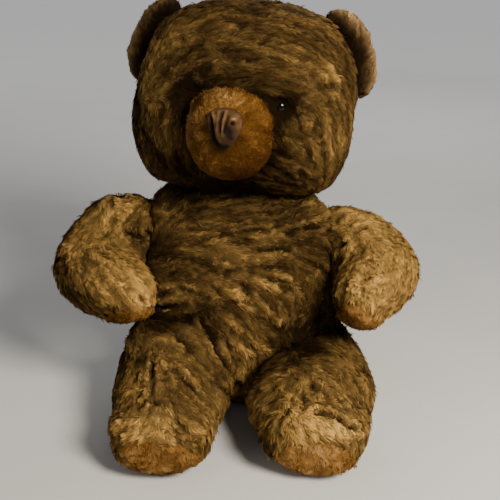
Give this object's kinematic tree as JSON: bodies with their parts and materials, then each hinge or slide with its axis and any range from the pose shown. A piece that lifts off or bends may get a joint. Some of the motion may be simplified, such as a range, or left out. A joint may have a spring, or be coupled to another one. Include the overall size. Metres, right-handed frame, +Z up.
{
  "type": "threadbare teddy bear",
  "caption": "Old stuffed plush bear with worn, matted fur, sitting with its legs out, for a shelf, a bed or a chair.",
  "frame": {"origin": "centre of the bear's width and depth, on the surface it sits on", "axes": "+Z up, -Y the way the bear faces, -X its own right"},
  "size_m": [0.2398, 0.203, 0.2622],
  "materials": {
    "brown_plush": "matted pile",
    "tan_velour": "short worn pile",
    "stuffing": "loose fibre",
    "black_button": "polished",
    "mauve_nose": "worn satin"
  },
  "bodies": {
    "root": {"torso_cover": "brown_plush", "torso_stuffing": "stuffing", "head_cover": "brown_plush", "head_stuffing": "stuffing", "muzzle_cover": "tan_velour", "muzzle_stuffing": "stuffing", "nose": "mauve_nose", "eye_left": "black_button", "eye_right": "black_button", "ear_left": "brown_plush", "ear_right": "brown_plush", "arm_left_cover": "brown_plush", "arm_left_stuffing": "stuffing", "arm_right_cover": "brown_plush", "arm_right_stuffing": "stuffing", "paw_pad_left": "tan_velour", "paw_pad_right": "tan_velour", "leg_left_cover": "brown_plush", "leg_left_stuffing": "stuffing", "leg_right_cover": "brown_plush", "leg_right_stuffing": "stuffing", "sole_left": "tan_velour", "sole_right": "tan_velour"}
  },
  "joints": []
}
